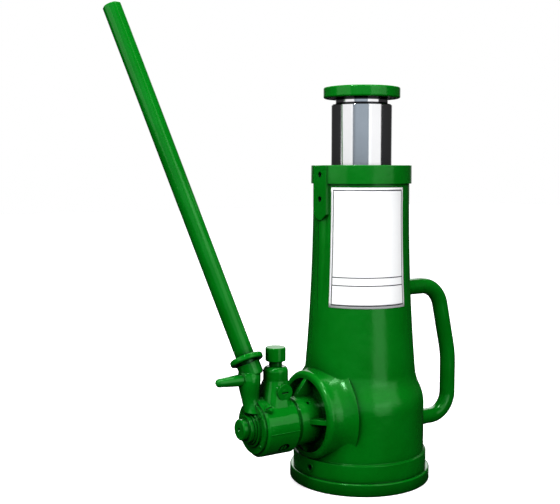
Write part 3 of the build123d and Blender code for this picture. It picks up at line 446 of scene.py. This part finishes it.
def painted_steel(name, paint_limit):
    """Machined steel, painted where it stands out of the head, past a place along -X."""
    material = enamel(name, wave_scale=90.0, wave=0.5, peel=0.1)
    tree = material.node_tree
    shader = tree.nodes["Principled BSDF"]
    place = tree.nodes["Texture Coordinate"].outputs["Object"]
    along = add_node(tree, "ShaderNodeSeparateXYZ", inputs={0: place}).outputs[0]
    bare = math_node(tree, "GREATER_THAN", along, paint_limit)
    paint = shader.inputs["Base Color"].links[0].from_socket
    tree.links.new(mix_colour(tree, bare, paint, painted_shaft_bare), shader.inputs["Base Color"])
    tree.links.new(bare, shader.inputs["Metallic"])
    return material


def shade_neck(material, level):
    """Darken a metal above a level with painted shade, as under the saddle, but leave one ring bare so its
    reflections show.
    """
    tree = material.node_tree
    shader = tree.nodes["Principled BSDF"]
    place = tree.nodes["Texture Coordinate"].outputs["Object"]
    height = add_node(tree, "ShaderNodeSeparateXYZ", inputs={0: place}).outputs[2]
    # Painted shade over the neck, except one ring where the bare steel's reflections still show
    unshaded_ring = math_node(tree, "COMPARE", height, level + neck_ring_rise, neck_ring_half)
    above = math_node(tree, "SUBTRACT", math_node(tree, "GREATER_THAN", height, level), unshaded_ring)
    bare = shader.inputs["Base Color"].links[0].from_socket
    tree.links.new(mix_colour(tree, above, bare, painted_neck_shade), shader.inputs["Base Color"])


def studio_floor_material():
    """Plain pale studio floor, lit up evenly far from the jack so that it runs into the backdrop."""
    material, tree, shader, place = new_material("studio_floor")
    grain = add_node(tree, "ShaderNodeTexNoise", inputs={"Vector": place, "Scale": 3.0, "Detail": 2.0})
    tree.links.new(mix_colour(tree, grain.outputs[0], floor_plain, floor_light), shader.inputs["Base Color"])
    reach = add_node(tree, "ShaderNodeVectorMath", {"operation": "LENGTH"}, {0: place}).outputs["Value"]
    inputs = {"Value": reach, "From Min": floor_glow_start, "From Max": floor_glow_end}
    spread = add_node(tree, "ShaderNodeMapRange", inputs=inputs).outputs[0]
    glow = mix_colour(tree, spread, floor_glow_near, floor_glow_far)
    tree.links.new(glow, shader.inputs["Emission Color"])
    shader.inputs["Emission Strength"].default_value = 1.0
    shader.inputs["Roughness"].default_value = 0.9
    shader.inputs["Specular IOR Level"].default_value = 0.1
    return material


cast_enamel = enamel("enamel_on_casting", wave_scale=75.0, wave=0.55, peel=0.10, gloss=0.19)
rough_enamel = enamel("enamel_on_rough_casting", wave_scale=110.0, wave=0.42, peel=0.05, gloss=0.05)
turned_enamel = enamel("enamel_on_turned_iron", wave_scale=60.0, wave=0.25, peel=0.08, turned=0.12)
bar_enamel = enamel("enamel_on_bar", wave_scale=70.0, wave=0.40, peel=0.08)
shaft_finish = painted_steel("enamel_and_steel_shaft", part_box("front_washer")[1].x)
ground_steel = metal(
    "ground_steel",
    colour=(0.80, 0.80, 0.81, 1),
    dark=(0.50, 0.51, 0.52, 1),
    roughness=0.11,
    rings=3200.0,
    depth=0.000004,
)
shade_neck(ground_steel, ram_shoulder)
gear_steel = metal(
    "gear_steel",
    colour=(0.42, 0.42, 0.43, 1),
    dark=(0.16, 0.15, 0.14, 1),
    roughness=0.32,
    rings=1500.0,
    depth=0.00001,
)
bearing_steel = metal(
    "bearing_steel",
    colour=(0.62, 0.62, 0.63, 1),
    dark=(0.35, 0.35, 0.35, 1),
    roughness=0.14,
    rings=2500.0,
    depth=0.000005,
)
dark_steel = metal(
    "blackened_steel",
    colour=(0.055, 0.055, 0.058, 1),
    dark=(0.02, 0.02, 0.02, 1),
    roughness=0.36,
    rings=1200.0,
    depth=0.00001,
)
bronze = metal(
    "bronze",
    colour=(0.56, 0.36, 0.15, 1),
    dark=(0.26, 0.15, 0.06, 1),
    roughness=0.28,
    rings=1500.0,
    depth=0.00001,
)

turned_parts = ["base_plate", "saddle", "shaft_ring", "front_washer", "pawl_knob", "knob_pin"]
turned_parts += ["detent_screw", "drain_plug", "back_plate"]
gear_parts = ["crown_gear", "gear_key", "guide_key", "lead_screw", "stop_washer", "pawl"]
gear_parts += ["ratchet_wheel", "wheel_key"]
bearing_parts = ["lower_race", "upper_race", "bearing_balls", "pinion_washer", "pawl_spring"]
bearing_parts += ["spring_seat", "detent_plunger"]
finishes = {
    cast_enamel: ["housing"],
    rough_enamel: ["ratchet_head"],
    turned_enamel: turned_parts,
    bar_enamel: ["carry_handle", "handle_rod", "crank_peg"],
    shaft_finish: ["pinion_shaft"],
    ground_steel: ["ram_tube"],
    gear_steel: gear_parts,
    bearing_steel: bearing_parts,
    dark_steel: ["lock_screw", "key_screws", "stop_screw", "nut_pins", "saddle_screw", "back_plate_screws"],
    bronze: ["ball_cage", "pinion_bush", "ram_nut"],
}
for material, names in finishes.items():
    for name in names:
        slots = nodes[name].material_slots
        for slot in slots:
            slot.material = material
        if not slots:
            nodes[name].data.materials.append(material)


# Geometry node groups, which grow a mesh on a path of points
def new_growth(name, inputs):
    """Empty geometry node group whose input is a path and a material, and whose output is a mesh."""
    sockets = (("Path", "NodeSocketGeometry", None), *inputs, ("Material", "NodeSocketMaterial", None))
    return new_group(name, "GeometryNodeTree", sockets, (("Mesh", "NodeSocketGeometry"),))


def end_growth(tree, shape, given, result, smooth=True):
    """Make instances real, shade them and give them the material."""
    real = add_node(tree, "GeometryNodeRealizeInstances", inputs={0: shape})
    shaded = add_node(tree, "GeometryNodeSetShadeSmooth", inputs={0: real.outputs[0], "Shade Smooth": smooth})
    dressed = add_node(
        tree, "GeometryNodeSetMaterial", inputs={0: shaded.outputs[0], "Material": given.outputs["Material"]}
    )
    tree.links.new(dressed.outputs[0], result.inputs["Mesh"])


def make_screw_growth():
    """A slotted screw head on every point of the path, all turned the same way."""
    tree, given, result = new_growth(
        "slotted_screws",
        (
            ("Sides", "NodeSocketInt", 24),
            ("Radius", "NodeSocketFloat", 0.002),
            ("Height", "NodeSocketFloat", 0.001),
            ("Slot", "NodeSocketFloat", 0.0005),
            ("Turn", "NodeSocketVector", None),
        ),
    )
    radius, height = given.outputs["Radius"], given.outputs["Height"]
    head = add_node(
        tree,
        "GeometryNodeMeshCone",
        inputs={
            "Vertices": given.outputs["Sides"],
            "Radius Top": math_node(tree, "MULTIPLY", radius, 0.8),
            "Radius Bottom": radius,
            "Depth": height,
        },
    )
    size = add_node(
        tree,
        "ShaderNodeCombineXYZ",
        inputs={0: math_node(tree, "MULTIPLY", radius, 3.0), 1: given.outputs["Slot"], 2: height},
    )
    block = add_node(tree, "GeometryNodeMeshCube", inputs={"Size": size.outputs[0]})
    lift = add_node(tree, "ShaderNodeCombineXYZ", inputs={2: height})
    slot = add_node(
        tree, "GeometryNodeTransform", inputs={0: block.outputs[0], "Translation": lift.outputs[0]}
    )
    slotted = add_node(
        tree, "GeometryNodeMeshBoolean", {"operation": "DIFFERENCE"}, {0: head.outputs[0], 1: slot.outputs[0]}
    )
    turn = add_node(tree, "FunctionNodeEulerToRotation", inputs={0: given.outputs["Turn"]})
    placed = add_node(
        tree,
        "GeometryNodeInstanceOnPoints",
        inputs={"Points": given.outputs["Path"], "Instance": slotted.outputs[0], "Rotation": turn.outputs[0]},
    )
    end_growth(tree, placed.outputs[0], given, result, smooth=False)
    return tree


def make_bead_growth():
    """Overlapping beads of uneven size along the path, as a weld run leaves them."""
    tree, given, result = new_growth(
        "weld_beads", (("Count", "NodeSocketInt", 20), ("Radius", "NodeSocketFloat", 0.001))
    )
    run = add_node(tree, "GeometryNodeMeshToCurve", inputs={0: given.outputs["Path"]})
    spaced = add_node(
        tree, "GeometryNodeResampleCurve", inputs={0: run.outputs[0], "Count": given.outputs["Count"]}
    )
    bead = add_node(
        tree,
        "GeometryNodeMeshUVSphere",
        inputs={"Segments": 16, "Rings": 10, "Radius": given.outputs["Radius"]},
    )
    uneven = add_node(
        tree, "FunctionNodeRandomValue", {"data_type": "FLOAT"}, {2: 0.75, 3: 1.2, "Seed": 4}
    )
    placed = add_node(
        tree,
        "GeometryNodeInstanceOnPoints",
        inputs={"Points": spaced.outputs[0], "Instance": bead.outputs[0], "Scale": uneven.outputs[1]},
    )
    end_growth(tree, placed.outputs[0], given, result)
    return tree


def make_ridge_growth():
    """Round ridge that follows the path."""
    tree, given, result = new_growth("ridge", (("Radius", "NodeSocketFloat", 0.0005),))
    run = add_node(tree, "GeometryNodeMeshToCurve", inputs={0: given.outputs["Path"]})
    section = add_node(
        tree, "GeometryNodeCurvePrimitiveCircle", inputs={"Resolution": 12, "Radius": given.outputs["Radius"]}
    )
    ridge = add_node(
        tree,
        "GeometryNodeCurveToMesh",
        inputs={"Curve": run.outputs[0], "Profile Curve": section.outputs[0], "Fill Caps": True},
    )
    end_growth(tree, ridge.outputs[0], given, result)
    return tree


def make_ring_growth():
    """Thin rings across the path, evenly spaced along it."""
    tree, given, result = new_growth(
        "rings_across",
        (
            ("Count", "NodeSocketInt", 6),
            ("Ring Radius", "NodeSocketFloat", 0.009),
            ("Radius", "NodeSocketFloat", 0.0003),
        ),
    )
    run = add_node(tree, "GeometryNodeMeshToCurve", inputs={0: given.outputs["Path"]})
    spaced = add_node(
        tree, "GeometryNodeResampleCurve", inputs={0: run.outputs[0], "Count": given.outputs["Count"]}
    )
    circle = add_node(
        tree,
        "GeometryNodeCurvePrimitiveCircle",
        inputs={"Resolution": 48, "Radius": given.outputs["Ring Radius"]},
    )
    section = add_node(
        tree, "GeometryNodeCurvePrimitiveCircle", inputs={"Resolution": 8, "Radius": given.outputs["Radius"]}
    )
    ring = add_node(
        tree,
        "GeometryNodeCurveToMesh",
        inputs={"Curve": circle.outputs[0], "Profile Curve": section.outputs[0]},
    )
    along = add_node(tree, "GeometryNodeInputTangent")
    turn = add_node(tree, "FunctionNodeAlignRotationToVector", {"axis": "Z"}, {"Vector": along.outputs[0]})
    placed = add_node(
        tree,
        "GeometryNodeInstanceOnPoints",
        inputs={"Points": spaced.outputs[0], "Instance": ring.outputs[0], "Rotation": turn.outputs[0]},
    )
    end_growth(tree, placed.outputs[0], given, result)
    return tree


slotted_screws = make_screw_growth()
weld_beads = make_bead_growth()
ridge = make_ridge_growth()
rings_across = make_ring_growth()


def grown_mesh(name, group, path, values, closed=False):
    """Plain mesh that a geometry node group makes on a path of points."""
    edges = [(index, index + 1) for index in range(len(path) - 1)]
    if closed:
        edges.append((len(path) - 1, 0))
    seed = bpy.data.meshes.new(f"{name}_path")
    seed.from_pydata(path, edges, [])
    grower = bpy.data.objects.new(f"{name}_path", seed)
    bpy.context.scene.collection.objects.link(grower)
    modifier = grower.modifiers.new("growth", "NODES")
    modifier.node_group = group
    for item in group.interface.items_tree:
        if item.name in values:
            modifier[item.identifier] = values[item.name]
    ready = grower.evaluated_get(bpy.context.evaluated_depsgraph_get())
    mesh = bpy.data.meshes.new_from_object(ready)
    mesh.name = name
    bpy.data.objects.remove(grower)
    return mesh


# Pieces
def new_piece(name, mesh, material, body):
    """Finished piece at the origin, with its material, riding on a body."""
    piece = bpy.data.objects.new(name, mesh)
    bpy.context.scene.collection.objects.link(piece)
    if not mesh.materials:
        mesh.materials.append(material)
    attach(piece, body)
    return piece


bpy.context.view_layer.update()
housing_surface = BVHTree.FromObject(nodes["housing"], bpy.context.evaluated_depsgraph_get())


def on_housing(azimuth, height, proud):
    """Point on the housing's outside at an azimuth and height, standing proud by a little."""
    out = Vector((cos(azimuth), sin(azimuth), 0))
    start = out * housing_outside + Vector((0, 0, height))
    hit = housing_surface.ray_cast(start, -out)[0]
    return hit + out * proud


def make_label():
    """Label plate: a thin closed sheet laid on the tapered body, with its own UV map."""
    corners = []
    for proud in (label_thickness, label_thickness * label_sunk_share):
        for row in range(label_rows + 1):
            height = label_low + (label_high - label_low) * row / label_rows
            for column in range(label_columns + 1):
                turn = label_azimuth + label_half_turn * (2 * column / label_columns - 1)
                corners.append(on_housing(turn, height, proud))
    across = label_columns + 1
    layer = across * (label_rows + 1)
    faces = []
    for row in range(label_rows):
        for column in range(label_columns):
            first = row * across + column
            front = (first, first + 1, first + across + 1, first + across)
            faces.append(front)
            faces.append(tuple(layer + index for index in reversed(front)))
    border = [(index, index + 1) for index in range(label_columns)]
    for row in range(label_rows):
        border.append((row * across + label_columns, (row + 1) * across + label_columns))
    border += [(layer - 1 - index, layer - 2 - index) for index in range(label_columns)]
    for row in range(label_rows, 0, -1):
        border.append((row * across, (row - 1) * across))
    for first, second in border:
        faces.append((second, first, first + layer, second + layer))
    mesh = bpy.data.meshes.new("label_plate")
    mesh.from_pydata(corners, [], faces)
    uv = mesh.uv_layers.new(name="UVMap")
    for loop in mesh.loops:
        index = loop.vertex_index % layer
        uv.data[loop.index].uv = ((index % across) / label_columns, (index // across) / label_rows)
    mesh.shade_smooth()
    return new_piece("label_plate", mesh, label_film(), "frame")


def on_barrel(station, turn, radius):
    """Point at a station along the pinion shaft, turned from up towards -Y, at a radius from the shaft."""
    return Vector((-station, -radius * sin(turn), shaft_height + radius * cos(turn)))


def make_head_screws():
    """Small screws of the ratchet head: round its front step, on its shoulder and behind the post."""
    ring = [on_barrel(head_step_station, radians(angle), head_screw_circle) for angle in head_screw_turns]
    shoulder = [on_barrel(square_screw_station, square_screw_turn, square_screw_reach)]
    behind_post = [on_barrel(top_screw_station, top_screw_turn, top_screw_reach)]
    shoulder_turn = (square_screw_turn, 0, square_screw_twist)
    screws = (
        ("head_face_screws", ring, (0, -pi / 2, 0), round_screw_sides, face_screw, turned_enamel),
        ("head_square_screw", shoulder, shoulder_turn, 4, square_screw, rough_enamel),
        ("head_top_screw", behind_post, (top_screw_turn, 0, 0), round_screw_sides, top_screw, turned_enamel),
    )
    for name, path, turn, sides, size, material in screws:
        values = {"Sides": sides, **size, "Turn": turn, "Material": material}
        new_piece(name, grown_mesh(name, slotted_screws, path, values), material, "head")


def make_head_seam():
    """Raised line that the casting's mould left along the barrel of the ratchet head."""
    path = [on_barrel(station, seam_turn, seam_reach) for station in seam_stations]
    values = {"Radius": seam_radius, "Material": rough_enamel}
    mesh = grown_mesh("head_casting_seam", ridge, path, values)
    new_piece("head_casting_seam", mesh, rough_enamel, "head")


def make_handle_welds():
    """Weld runs round both roots of the carrying handle, and the fine ribs its bending left."""
    for name, height in (("handle_weld_top", handle_top), ("handle_weld_low", handle_low)):
        path = []
        for step in range(weld_points):
            turn = 2 * pi * step / weld_points
            y, z = weld_reach * cos(turn), height + weld_reach * sin(turn)
            path.append(housing_surface.ray_cast(Vector((handle_outside, y, z)), Vector((-1, 0, 0)))[0])
        values = {"Count": weld_bead_count, "Radius": weld_bead_radius, "Material": rough_enamel}
        new_piece(name, grown_mesh(name, weld_beads, path, values, closed=True), rough_enamel, "frame")
    path = [(station, 0, handle_top) for station in bend_rib_stations]
    mesh = grown_mesh("handle_bend_ribs", rings_across, path, {**bend_ribs, "Material": bar_enamel})
    new_piece("handle_bend_ribs", mesh, bar_enamel, "frame")


def make_lock_screw_rim():
    """Raised rim round the lock screw's hole in the flange."""
    low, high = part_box("lock_screw")
    height = (low.z + high.z) / 2
    path = []
    for step in range(lock_rim_points):
        turn = 2 * pi * step / lock_rim_points
        azimuth = lock_screw_azimuth + lock_rim_reach * cos(turn) / flange_radius
        path.append(on_housing(azimuth, height + lock_rim_reach * sin(turn), 0))
    values = {"Radius": lock_rim_radius, "Material": turned_enamel}
    mesh = grown_mesh("lock_screw_rim", ridge, path, values, closed=True)
    new_piece("lock_screw_rim", mesh, turned_enamel, "frame")


make_label()
make_head_screws()
make_head_seam()
make_handle_welds()
make_lock_screw_rim()


# Studio: floor, lights, surroundings and camera
def make_floor():
    """Large pale floor under the base."""
    half = floor_size / 2
    mesh = bpy.data.meshes.new("studio_floor")
    corners = [(-half, -half, 0), (half, -half, 0), (half, half, 0), (-half, half, 0)]
    mesh.from_pydata(corners, [], [(0, 1, 2, 3)])
    mesh.materials.append(studio_floor_material())
    floor = bpy.data.objects.new("studio_floor", mesh)
    bpy.context.scene.collection.objects.link(floor)
    floor.visible_glossy = False
    floor.visible_diffuse = False


def make_softbox(name, place, target, width, height, power):
    """Soft rectangular light that faces a target."""
    light = bpy.data.lights.new(name, "AREA")
    light.shape = "RECTANGLE"
    light.size = width
    light.size_y = height
    light.energy = power
    lamp = bpy.data.objects.new(name, light)
    lamp.location = place
    lamp.rotation_mode = "QUATERNION"
    lamp.rotation_quaternion = (Vector(target) - Vector(place)).to_track_quat("-Z", "Y")
    lamp.visible_camera = False
    bpy.context.scene.collection.objects.link(lamp)
    return lamp


def around_axis(azimuth, reach, height):
    """Point at an azimuth, reach and height about the jack's axis."""
    return Vector((reach * cos(azimuth), reach * sin(azimuth), height))


def make_lights():
    """Softboxes at both sides and overhead, a key light, a small bright one and three strips."""
    for name, turn, power in (
        ("left", left_softbox_turn, left_softbox_power),
        ("right", right_softbox_turn, right_softbox_power),
    ):
        place = around_axis(camera_azimuth + turn, softbox_reach, softbox_middle)
        aim = (0, 0, softbox_middle)
        make_softbox(f"softbox_{name}", place, aim, softbox_width, softbox_height, power)
    place = around_axis(camera_azimuth + top_light_turn, top_light_reach, top_light_middle)
    top = make_softbox("softbox_top", place, light_aim, top_light_side, top_light_side, top_light_power)
    top.visible_glossy = False
    place = around_axis(camera_azimuth + key_light_turn, key_light_reach, key_light_middle)
    key = make_softbox("softbox_key", place, light_aim, key_light_width, key_light_height, key_light_power)
    key.visible_glossy = False
    place = around_axis(camera_azimuth + spark_light_turn, spark_light_reach, spark_light_middle)
    make_softbox("softbox_spark", place, light_aim, spark_light_side, spark_light_side, spark_light_power)
    make_softbox(
        "strip_over_head",
        head_strip_place,
        head_strip_aim,
        head_strip_width,
        head_strip_height,
        head_strip_power,
    )
    for name, middle, height, power in (
        ("low", low_strip_middle, low_strip_height, low_strip_power),
        ("high", high_strip_middle, high_strip_height, high_strip_power),
    ):
        place = around_axis(camera_azimuth + strip_turn, strip_reach, middle)
        make_softbox(f"strip_{name}", place, (0, 0, middle), strip_width, height, power)


def make_surroundings():
    """Surroundings for reflections, pale behind the jack and dark at both sides; the camera sees white."""
    world = bpy.data.worlds.new("studio")
    world.use_nodes = True
    tree = world.node_tree
    tree.nodes.clear()
    direction = add_node(tree, "ShaderNodeTexCoord").outputs["Generated"]
    ahead = (cos(camera_azimuth + pi), sin(camera_azimuth + pi), 0)
    facing = add_node(
        tree, "ShaderNodeVectorMath", {"operation": "DOT_PRODUCT"}, {0: direction, 1: ahead}
    ).outputs["Value"]
    ramp = add_node(tree, "ShaderNodeValToRGB", inputs={0: math_node(tree, "MULTIPLY_ADD", facing, 0.5, 0.5)})
    stops = ramp.color_ramp.elements
    for index, (position, colour) in enumerate(surroundings):
        stop = stops[index] if index < len(stops) else stops.new(position)
        stop.position, stop.color = position, colour
    raised = (ahead[0] * cos(backdrop_rise), ahead[1] * cos(backdrop_rise), sin(backdrop_rise))
    rising = add_node(
        tree, "ShaderNodeVectorMath", {"operation": "DOT_PRODUCT"}, {0: direction, 1: raised}
    ).outputs["Value"]
    inputs = {"Value": rising, "From Min": backdrop_edge, "From Max": backdrop_full}
    glow = add_node(tree, "ShaderNodeMapRange", inputs=inputs).outputs[0]
    backdrop = mix_colour(tree, glow, ramp.outputs[0], backdrop_glow)
    height = add_node(tree, "ShaderNodeSeparateXYZ", inputs={0: direction}).outputs[2]
    inputs = {"Value": height, "From Min": horizon_low, "From Max": horizon_high}
    above = add_node(tree, "ShaderNodeMapRange", inputs=inputs).outputs[0]
    room = mix_colour(tree, above, ground_tone, backdrop)
    rays = add_node(tree, "ShaderNodeLightPath")
    seen = mix_colour(tree, rays.outputs["Is Camera Ray"], room, camera_backdrop)
    background = add_node(tree, "ShaderNodeBackground", inputs={"Color": seen, "Strength": 1.0})
    output = tree.nodes.new("ShaderNodeOutputWorld")
    tree.links.new(background.outputs[0], output.inputs["Surface"])
    bpy.context.scene.world = world


def make_camera():
    """Camera at the photograph's place, looking a little to the left of the jack and down."""
    camera = bpy.data.objects.new("camera", bpy.data.cameras.new("camera"))
    camera.data.lens = camera_lens
    camera.location = around_axis(camera_azimuth, camera_reach, camera_height)
    level = cos(camera_pitch)
    look = Vector((level * cos(camera_heading), level * sin(camera_heading), -sin(camera_pitch)))
    camera.rotation_mode = "QUATERNION"
    camera.rotation_quaternion = look.to_track_quat("-Z", "Y")
    bpy.context.scene.collection.objects.link(camera)
    bpy.context.scene.camera = camera


make_floor()
make_lights()
make_surroundings()
make_camera()
bpy.context.scene.view_settings.view_transform = "Standard"
